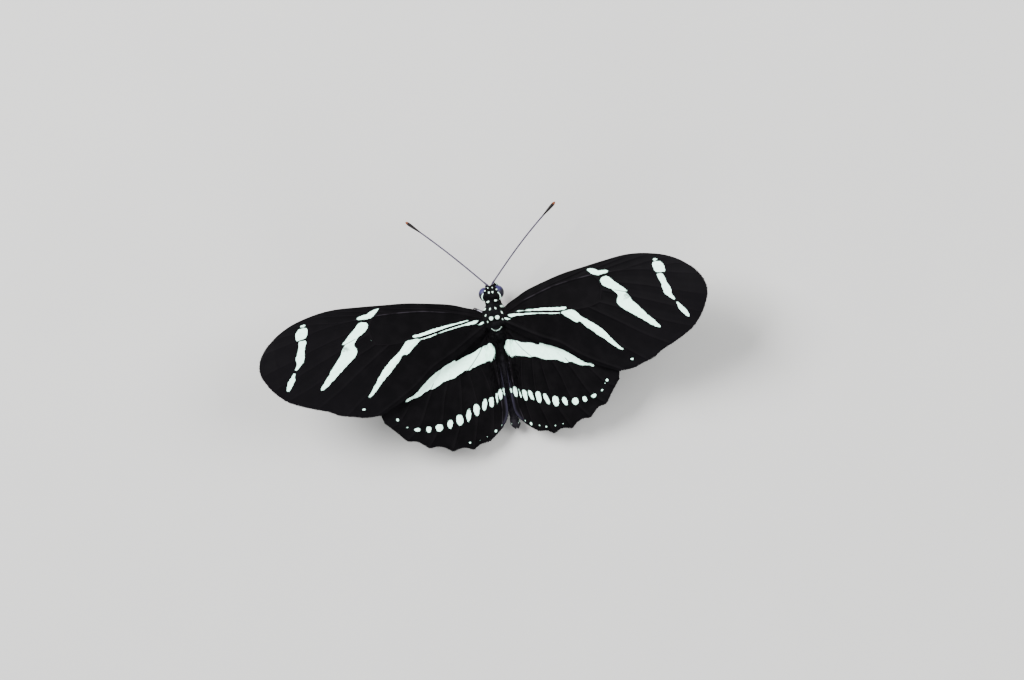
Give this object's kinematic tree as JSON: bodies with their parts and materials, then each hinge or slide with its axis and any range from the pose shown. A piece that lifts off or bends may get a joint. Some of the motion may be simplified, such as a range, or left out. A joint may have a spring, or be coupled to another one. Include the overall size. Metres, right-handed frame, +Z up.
{
  "type": "zebra longwing butterfly",
  "caption": "Still, life-size black and cream long-winged butterfly standing on its feet with its wings held open.",
  "frame": {"origin": "centre of the model's box on the floor that its feet stand on", "axes": "+X to the butterfly's right across the wings, +Y towards its head, +Z up"},
  "size_m": [0.0844, 0.0424, 0.0181],
  "materials": {
    "wing": "velvety black scales with pale cream bands and spots",
    "body": "short black hair and scales with cream spots",
    "eye": "glossy faceted dark eye with a violet sheen",
    "antenna": "finely ringed purple grey shaft with an orange brown tip",
    "leg": "finely scaled grey leg, paler and violet above",
    "proboscis": "smooth ringed dark brown coil"
  },
  "bodies": {
    "root": {"head": "body", "thorax": "body", "abdomen": "body", "palp_left": "body", "palp_right": "body", "eye_left": "eye", "eye_right": "eye", "proboscis": "proboscis", "antenna_left": "antenna", "antenna_right": "antenna", "forewing_left": "wing", "forewing_right": "wing", "hindwing_left": "wing", "hindwing_right": "wing", "foreleg_left": "leg", "foreleg_right": "leg", "midleg_left": "leg", "midleg_right": "leg", "hindleg_left": "leg", "hindleg_right": "leg"}
  },
  "joints": []
}
